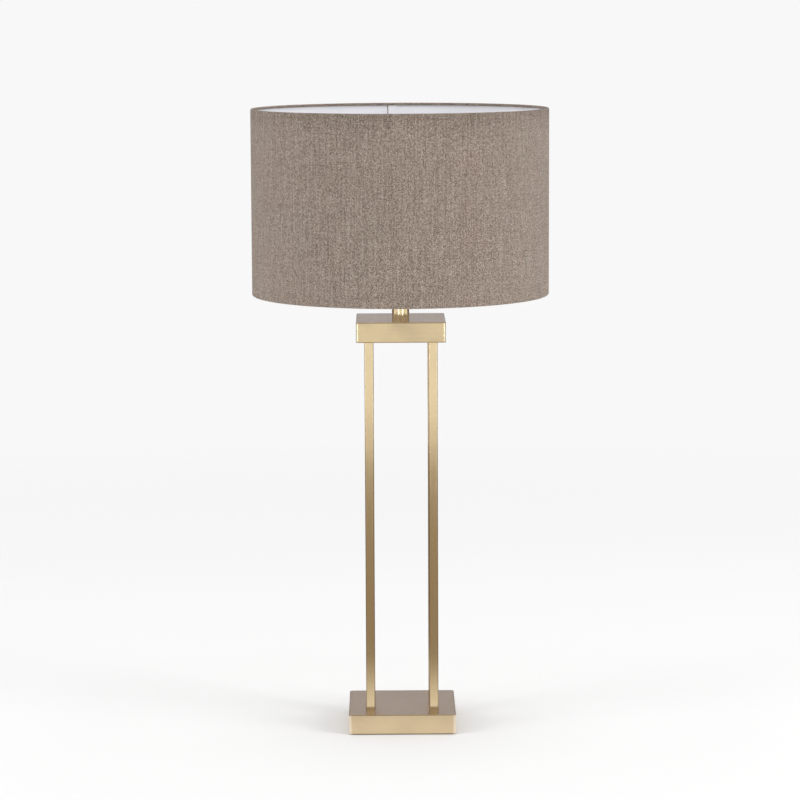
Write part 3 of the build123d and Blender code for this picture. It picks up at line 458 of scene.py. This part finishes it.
def brushed_brass(name, colour, grain, roughness, form=None, anisotropy=0.0, depth=0.000005, glance=1.0):
    """Champagne brass, brushed along one direction, with soft clouding and, on a form, painted highlights
    and painted shade on its edges.

    On base and block the sides that look along X are brushed along Y. glance scales the glancing reflection.
    """
    s = Shader(name)
    place = s.place()
    brushed = brushing(s, place, grain)
    cloud = s.noise(place, 23.0, 3.0, 0.55)
    base = s.mix(s.remap(cloud, 0.35, 0.7, 0, 1), colour, scaled(colour, cloud_shade))
    if form:
        facing = s.facing()
        if not form.leg:
            sideways = s.math("GREATER_THAN", s.math("ABSOLUTE", facing[0]), 0.7)
            brushed = s.blend(sideways, brushed, brushing(s, place, (grain[1], grain[0], grain[2])))
        base = painted_edges(s, place, facing, base, colour, form)
    rough = s.math("ADD", s.spread(brushed, roughness - 0.05, roughness + 0.05, 0.15),
                   s.spread(cloud, -0.02, 0.03))
    return s.set(
        Base_Color=base,
        Metallic=1.0,
        Roughness=rough,
        Specular_Tint=(glance, glance * 0.97, glance * 0.94, 1.0),
        Anisotropic=anisotropy,
        Tangent=s.node("ShaderNodeTangent", direction_type="RADIAL", axis="Z").outputs[0],
        Normal=s.bump(brushed, depth, 0.5),
    )


def plain(name, colour, roughness, metallic=0.0, spread=0.06, scale=60.0, grain=0.00002):
    """A moulded, cast, plated or rubber surface: a little uneven in colour, gloss and height."""
    s = Shader(name)
    place = s.place()
    cloud = s.noise(place, scale, 3.0, 0.6)
    pores = s.noise(place, scale * 28, 2.0, 0.6)
    darker = scaled(colour, (1 - 2 * spread,) * 3)
    return s.set(
        Base_Color=s.mix(s.spread(cloud, 0, 1), colour, darker),
        Metallic=metallic,
        Roughness=s.spread(pores, roughness - 0.06, roughness + 0.06),
        Normal=s.bump(pores, grain, 0.6),
    )


def felt():
    """Dark felt with tangled fibres."""
    s = Shader("felt_dark")
    fibres = s.noise(s.place(), 1400.0, 4.0, 0.7)
    return s.set(
        Base_Color=s.mix(s.spread(fibres, 0, 1), rgb(48, 46, 45), rgb(96, 92, 90)),
        Roughness=0.97,
        Sheen_Weight=0.3,
        Sheen_Roughness=0.6,
        Normal=s.bump(fibres, 0.0003, 0.9),
    )


def glass():
    """Clear blown glass with faint waves."""
    s = Shader("glass_clear")
    waves = s.noise(s.place(), 60.0, 1.0)
    return s.set(
        Base_Color=rgb(250, 252, 252),
        Roughness=s.spread(waves, 0.0, 0.02),
        IOR=1.5,
        Transmission_Weight=1.0,
        Normal=s.bump(waves, 0.00005, 0.3),
    )


def filament():
    """Yellow phosphor coat on the filaments, with a granular surface."""
    s = Shader("filament_coat")
    grains = s.noise(s.place(), 2600.0, 2.0)
    return s.set(
        Base_Color=s.mix(s.spread(grains, 0, 1), rgb(238, 190, 74), rgb(250, 214, 120)),
        Roughness=0.6,
        Normal=s.bump(grains, 0.00006, 0.7),
    )


base_form = Form(0.0, base_high.x, 0.0, base_high.z, 0.0045, painted_edge_highlight, leg=False)
block_form = Form(0.0, block_high.x, block_low.z, block_high.z, 0.0026, painted_edge_highlight, leg=False)
leg_form = Form((leg_low.x + leg_high.x) / 2, (leg_high.x - leg_low.x) / 2, leg_low.z, leg_high.z, 0.0022,
                painted_leg_highlight, leg=True)

# One finish for each material slot of the record
materials = {
    "felt": felt(),
    "base_brass": brushed_brass("brass_base", shaded_base_colour, crosswise, 0.22, base_form),
    "leg_brass": brushed_brass("brass_legs", leg_colour, lengthwise, 0.18, leg_form, 0.75, 0.000008),
    "block_brass": brushed_brass("brass_block", block_colour, crosswise, 0.18, block_form),
    "neck_brass": brushed_brass("brass_neck", neck_colour, round_about, 0.12, depth=0.000003, glance=0.3),
    "cast_iron": plain("cast_iron", rgb(62, 62, 66), 0.75, 0.6, 0.15, 90.0, 0.0002),
    "steel_plate": plain("steel_plate", rgb(188, 188, 190), 0.38, 1.0, 0.04),
    "zinc_steel": plain("zinc_steel", rgb(206, 208, 210), 0.30, 1.0, 0.06, 140.0),
    "brass_parts": plain("brass_turned", turned_colour, 0.25, 1.0, 0.04, 200.0),
    "black_rubber": plain("rubber_black", rgb(38, 38, 38), 0.72, 0.0, 0.08, 150.0, 0.00004),
    "white_plastic": plain("plastic_white", rgb(238, 237, 233), 0.36, 0.0, 0.015, 40.0, 0.000015),
    "clear_plastic": plain("plastic_milky", rgb(222, 222, 217), 0.30, 0.0, 0.03, 90.0),
    "lead_sheath": plain("lead_sheath", rgb(222, 221, 217), 0.50, 0.0, 0.03, 120.0),
    "core_wire": plain("core_sheath", rgb(70, 98, 170), 0.42, 0.0, 0.05, 200.0),
    "white_steel": plain("steel_lacquered", rgb(240, 240, 238), 0.32, 0.0, 0.03, 90.0, 0.00003),
    "shade_linen": linen(),
    "shade_white": lining(),
    "clear_glass": glass(),
    "cap_metal": plain("cap_nickel", rgb(214, 213, 210), 0.24, 1.0, 0.05, 160.0),
    "black_glass": plain("vitrite_black", rgb(24, 24, 26), 0.12, 0.0, 0.05, 200.0),
    "filament": filament(),
}


def dress_solids():
    """Gives each solid part the finish of its slot."""
    slot_of_node = {}
    for entry in frame["record"]["materials"]:
        for name in entry.get("nodes", []):
            slot_of_node[name] = entry["slot"]
    for name, part in frame["nodes"].items():
        if not part.data.materials:
            part.data.materials.append(None)
        for index, held in enumerate(part.data.materials):
            key = held.name.split(".")[0] if held else slot_of_node[name]
            part.data.materials[index] = materials[key]


def mesh_object(name, points, faces, material):
    """A new mesh object in the scene, with one material."""
    mesh = bpy.data.meshes.new(name)
    mesh.from_pydata(points, [], faces)
    mesh.materials.append(material)
    made = bpy.data.objects.new(name, mesh)
    bpy.context.scene.collection.objects.link(made)
    return made


def mesh_piece(name, points, faces, corners, material):
    """A smooth-shaded piece with one UV map, called weave, in metres."""
    piece = mesh_object(name, points, faces, material)
    layer = piece.data.uv_layers.new(name="weave")
    layer.data.foreach_set("uv", [value for corner in corners for value in corner])
    piece.data.shade_smooth()
    return piece


def profile_lengths(profile):
    """The length along a closed profile at each of its points, and at its end."""
    lengths = [0.0]
    for (r0, z0), (r1, z1) in zip(profile, profile[1:] + profile[:1]):
        lengths.append(lengths[-1] + math.hypot(r1 - r0, z1 - z0))
    return lengths


def lathe(name, profile, segments, start, material, ripple=None):
    """Turns a closed profile of (radius, height) about Z. Its UV map follows the turn and the profile.

    ripple(angle, radius, height) gives what is added to the radius, as for a thread.
    """
    count = len(profile)
    lengths = profile_lengths(profile)
    girth = 2 * math.pi * max(radius for radius, height in profile)
    points, faces, corners = [], [], []
    for i in range(segments):
        angle = start + 2 * math.pi * i / segments
        for r, z in profile:
            reach = r + (ripple(angle, r, z) if ripple else 0.0)
            points.append((reach * math.cos(angle), reach * math.sin(angle), z))
    for i in range(segments):
        here, after = i * count, (i + 1) % segments * count
        u0, u1 = girth * i / segments, girth * (i + 1) / segments
        for j in range(count):
            following = (j + 1) % count
            faces.append((here + j, after + j, after + following, here + following))
            v0, v1 = lengths[j], lengths[j + 1]
            corners += [(u0, v0), (u1, v0), (u1, v1), (u0, v1)]
    return mesh_piece(name, points, faces, corners, material)


def arc(centre_radius, centre_height, radius, first, last, count):
    """Points of an arc in the profile plane, from one angle to another in degrees."""
    points = []
    for i in range(count + 1):
        angle = math.radians(first + (last - first) * i / count)
        points.append((centre_radius + radius * math.cos(angle), centre_height + radius * math.sin(angle)))
    return points


def wall(radius, low, high, count):
    """Points along a straight wall, from low to high, its ends included."""
    return [(radius, low + (high - low) * i / count) for i in range(count + 1)]


def curve(first, second, third, fourth, count):
    """Points of a cubic curve after its first point."""
    points = []
    for i in range(1, count + 1):
        t = i / count
        weights = ((1 - t) ** 3, 3 * t * (1 - t) ** 2, 3 * t * t * (1 - t), t ** 3)
        knots = (first, second, third, fourth)
        points.append(tuple(sum(w * k[axis] for w, k in zip(weights, knots)) for axis in (0, 1)))
    return points


def raised(point, rise):
    """A profile point moved up."""
    return (point[0], point[1] + rise)


def helix(pitch, depth, low, high, least_radius):
    """A rounded thread on the wide part of a profile, dying away at both its ends."""
    def ripple(angle, radius, height):
        if radius < least_radius or not low < height < high:
            return 0.0
        ends = min(1.0, (height - low) / pitch, (high - height) / pitch)
        return -depth * ends * (0.5 - 0.5 * math.cos(2 * math.pi * height / pitch - angle))
    return ripple


def on_cylinder(radius, angle, height):
    return (radius * math.cos(angle), radius * math.sin(angle), height)


def lap(name, radius, rise, low, high, start, width, material):
    """The lapped end of a sheet: a thin upright strip that lies on a cylinder, with softened edges."""
    columns, rows = seam_columns, seam_rows
    step = width / radius / columns
    levels = [low + (high - low) * j / rows for j in range(rows + 1)]
    points = []
    for z in levels:
        for i in range(columns + 1):
            proud = rise if 0 < i < columns else rise * seam_soft_edge
            points.append(on_cylinder(radius + proud, start + step * i, z))
    rim = len(points)
    for z in levels:
        points += [on_cylinder(radius, angle, z) for angle in (start, start + step * columns)]
    faces, corners = [], []
    for j in range(rows):
        first = j * (columns + 1)
        v0, v1 = (high - low) * j / rows, (high - low) * (j + 1) / rows
        for i in range(columns):
            a = first + i
            faces.append((a, a + 1, a + columns + 2, a + columns + 1))
            u0, u1 = width * i / columns, width * (i + 1) / columns
            corners += [(u0, v0), (u1, v0), (u1, v1), (u0, v1)]
        for i, side in ((0, 0), (columns, 1)):
            a, b = first + i, rim + 2 * j + side
            faces.append((a, a + columns + 1, b + 2, b))
            corners += lap_side_patch
    return mesh_piece(name, points, faces, corners, materials[material])


def dress(piece, body, node=None):
    """Rides a piece on a body, and lets it stand for a solid part where one is given."""
    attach(piece, body)
    if node:
        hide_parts(node)
    return piece


def cover_profile():
    """The cloth's section: inner fold, roll over the lower ring, wall, roll over the upper ring, fold."""
    middle = shade_radius - hem_roll
    low = shade_bottom + hem_roll
    high = shade_top - hem_roll
    outside = [(middle - hem_roll, shade_bottom + hem_fold)]
    outside += arc(middle, low, hem_roll, 180, 360, hem_steps)
    outside += wall(shade_radius, low, high, cover_rows)[1:-1]
    outside += arc(middle, high, hem_roll, 0, 180, hem_steps)
    outside += [(middle - hem_roll, shade_top - hem_fold)]
    inner = hem_roll - cloth_thickness
    inside = [(middle - inner, shade_top - hem_fold)]
    inside += arc(middle, high, inner, 180, 0, hem_steps)
    inside += arc(middle, low, inner, 360, 180, hem_steps)
    inside += [(middle - inner, shade_bottom + hem_fold)]
    return outside + inside


def lining_profile():
    """The lining's section: up its outer side and down its inner one."""
    up = wall(lining_high.x, lining_low.z, lining_high.z, lining_rows)
    down = wall(lining_radius, lining_high.z, lining_low.z, lining_rows)
    return up + down


def make_shade():
    """The linen with its lap, and the lining with its lap and the cut edge of the linen beside it."""
    cover = lathe("shade_cloth", cover_profile(), cover_segments, seam_angle, materials["shade_linen"])
    dress(cover, "shade", "shade_cover")
    wall_low, wall_high = shade_bottom + hem_roll, shade_top - hem_roll
    cover_lap = lap("shade_cloth_lap", shade_radius, seam_rise, wall_low, wall_high, seam_angle, seam_width,
                    "shade_linen")
    dress(cover_lap, "shade")
    inner_ends = (lining_low.z + lap_margin, lining_high.z - lap_margin)
    lining_lap = lap("shade_lining_lap", lining_radius, -lining_lap_rise, *inner_ends,
                     seam_angle - seam_width / lining_high.x, seam_width, "shade_white")
    dress(lining_lap, "shade")
    cut_edge = lap("shade_lining_cut", lining_radius, -cut_rise, *inner_ends, seam_angle, cut_width,
                   "shade_linen")
    dress(cut_edge, "shade")
    inner_sheet = lathe("shade_lining_sheet", lining_profile(), lining_segments, seam_angle,
                        materials["shade_white"])
    dress(inner_sheet, "shade", "shade_lining")


def bulb_skin(inset):
    """Half the outline of a candle bulb, from its foot in the cap to its drawn-out tip."""
    foot = (glass_foot_radius - inset, cap_high.z)
    belly = (glass_high.x - inset, cap_high.z + glass_belly_rise)
    tip = (glass_point_radius, glass_high.z - inset)
    neck = (glass_neck_radius - inset, tip[1] - glass_neck_drop)
    outline = [(foot[0], glass_low.z), foot]
    outline += curve(foot, raised(foot, 0.007), raised(belly, -0.010), belly, 18)
    outline += curve(belly, raised(belly, 0.019), (0.0062 - inset, tip[1] - 0.017), neck, 34)
    outline += curve(neck, (0.0026 - inset, tip[1] - 0.0012), (0.0014, tip[1]), tip, 8)
    return outline


def cap_profile():
    """The screw cap of the bulb: a rounded foot, a threaded sleeve and a flared collar."""
    outside = [(cap_foot_radius, cap_low.z)]
    outside += arc(sleeve_radius - cap_curl, cap_low.z + cap_curl, cap_curl, 270, 360, 5)
    outside += wall(sleeve_radius, cap_low.z + 0.0019, cap_high.z - 0.0042, cap_thread_rows)
    flare = (cap_high.x, cap_high.z - 0.0024)
    outside += curve(outside[-1], (sleeve_radius, cap_high.z - 0.0032), raised(flare, -0.0010), flare, 6)
    outside += [(cap_high.x, cap_high.z - 0.0003), (cap_high.x - 0.0002, cap_high.z)]
    inside = [(r - cap_sheet, max(z, cap_low.z + cap_sheet)) for r, z in outside[::-1]]
    return outside + inside


def skirt_profile():
    """The lampholder's skirt: a spigot, a rounded shoulder, a threaded wall and a plain bore."""
    outline = [(skirt_bore, skirt_low.z), (spigot_radius, skirt_low.z), (spigot_radius, holder_top)]
    corner = skirt_high.x - shoulder_round
    outline += arc(corner, holder_top + shoulder_round, shoulder_round, 270, 360, 4)
    outline += arc(corner, shoulder_top - shoulder_round, shoulder_round, 0, 90, 4)
    outline += [(skirt_radius + shoulder_groove, shoulder_top)]
    outline += wall(skirt_radius, shoulder_top + shoulder_groove, skirt_high.z - skirt_chamfer,
                    skirt_thread_rows)
    outline += [(skirt_radius - skirt_chamfer, skirt_high.z), (skirt_bore + bore_chamfer, skirt_high.z)]
    outline += [(skirt_bore, skirt_high.z - bore_chamfer)]
    return outline


def make_bulb():
    """The thin blown glass and the threaded cap."""
    skin = bulb_skin(0.0) + bulb_skin(glass_wall)[::-1]
    blown = lathe("bulb_glass_skin", skin, bulb_segments, 0.0, materials["clear_glass"])
    dress(blown, "bulb", "bulb_glass")
    thread = helix(cap_thread_pitch, cap_thread_depth, cap_thread_low, cap_thread_high,
                   sleeve_radius - 1.5 * cap_sheet)
    cap = lathe("bulb_cap_threaded", cap_profile(), bulb_segments, 0.0, materials["cap_metal"], thread)
    dress(cap, "bulb", "bulb_cap")


def make_skirt():
    """The lampholder's skirt with the thread for the shade's ring."""
    thread = helix(skirt_thread_pitch, skirt_thread_depth, skirt_thread_low, skirt_thread_high,
                   skirt_radius - 0.00001)
    skirt = lathe("holder_skirt_threaded", skirt_profile(), skirt_segments, 0.0, materials["white_plastic"],
                  thread)
    dress(skirt, "stand", "holder_skirt")


def circle(radius, height):
    turns = [2 * math.pi * i / circle_steps for i in range(circle_steps)]
    return [on_cylinder(radius, turn, height) for turn in turns]


def ring_faces(sector):
    """The faces between two circles, one after the other in a list of points, over a sector in steps."""
    faces = []
    for i in range(*sector):
        after = (i + 1) % circle_steps
        faces.append((i, after, circle_steps + after, circle_steps + i))
    return faces


def fading_floor():
    """Pale floor that fades into the background and is clear from below."""
    s = Shader("floor_pale")
    fade = s.remap(s.length(s.place()), *floor_fade, 1.0, 0.0)
    front = s.math("SUBTRACT", 1.0, s.node("ShaderNodeNewGeometry").outputs["Backfacing"])
    return s.set(
        Base_Color=(floor_albedo, floor_albedo, floor_albedo, 1.0),
        Roughness=1.0,
        Specular_IOR_Level=0.0,
        Alpha=s.math("MULTIPLY", fade, front),
    )


def make_floor():
    """A round floor with a square hole that the base covers, so that light reaches it from below."""
    hole = []
    for x, y, z in circle(1.0, 0.0):
        shrink = (base_high.x - floor_overlap) / max(abs(x), abs(y))
        hole.append((x * shrink, y * shrink, z))
    floor = mesh_object("floor", circle(floor_radius, 0.0) + hole, ring_faces(whole_circle), fading_floor())


def make_card(card):
    """A card that only the metal's reflections show, coming in from clear between two radii if it fades."""
    s = Shader(card.name)
    s.set(Base_Color=card.colour, Roughness=1.0, Specular_IOR_Level=0.0)
    if card.fade_in:
        s.set(Alpha=s.remap(s.length(s.place()), *card.fade_in, 0.0, 1.0))
    points = circle(*card.first) + circle(*card.second)
    piece = mesh_object(card.name, points, ring_faces(card.sector), s.material)
    piece.visible_camera = False
    piece.visible_diffuse = False
    piece.visible_transmission = False
    piece.visible_shadow = False


def grey(level):
    return (level, level, level, 1.0)


def make_world():
    """Soft ambient light, with the pale background where it is seen, mirrored or seen through glass."""
    world = bpy.data.worlds.new("studio")
    bpy.context.scene.world = world
    world.use_nodes = True
    s = Nodes(world.node_tree)
    path = s.node("ShaderNodeLightPath").outputs
    seen = s.math("ADD", path["Is Camera Ray"], path["Is Glossy Ray"])
    seen = s.math("ADD", seen, path["Is Transmission Ray"])
    background = s.tree.nodes["Background"]
    s.put(background.inputs["Color"], s.mix(seen, grey(ambient_level), grey(background_level)))
    s.put(background.inputs["Strength"], 1.0)


def softbox(light):
    """A rectangular area light turned towards a point."""
    lamp = bpy.data.lights.new(light.name, "AREA")
    lamp.shape = "RECTANGLE"
    lamp.size = light.width
    lamp.size_y = light.height
    lamp.energy = light.power
    box = bpy.data.objects.new(light.name, lamp)
    box.location = light.place
    box.rotation_euler = (Vector(light.aim) - Vector(light.place)).to_track_quat("-Z", "Y").to_euler()
    box.visible_camera = False
    bpy.context.scene.collection.objects.link(box)
    return box


def make_camera():
    """The camera of the photograph: it looks at the lamp's axis, a little from above."""
    data = bpy.data.cameras.new("camera")
    data.sensor_width = sensor_width
    data.lens = focal_pixels / photo_width * sensor_width
    camera = bpy.data.objects.new("camera", data)
    heading = Vector((math.sin(camera_azimuth), -math.cos(camera_azimuth), 0.0))
    spot = heading * camera_distance + Vector((0.0, 0.0, camera_height))
    turn = Matrix.Rotation(camera_azimuth + camera_yaw_trim, 4, "Z")
    tilt = Matrix.Rotation(math.pi / 2 - camera_pitch, 4, "X")
    roll = Matrix.Rotation(camera_roll, 4, "Z")
    camera.matrix_world = Matrix.Translation(spot) @ turn @ tilt @ roll
    bpy.context.scene.collection.objects.link(camera)
    bpy.context.scene.camera = camera


dress_solids()
make_shade()
make_bulb()
make_skirt()
make_floor()
for card in cards:
    make_card(card)
make_world()
for light in wide_lights:
    softbox(light).visible_glossy = False
for light in strip_lights:
    softbox(light).visible_diffuse = False
make_camera()

bpy.context.scene.view_settings.view_transform = "Standard"
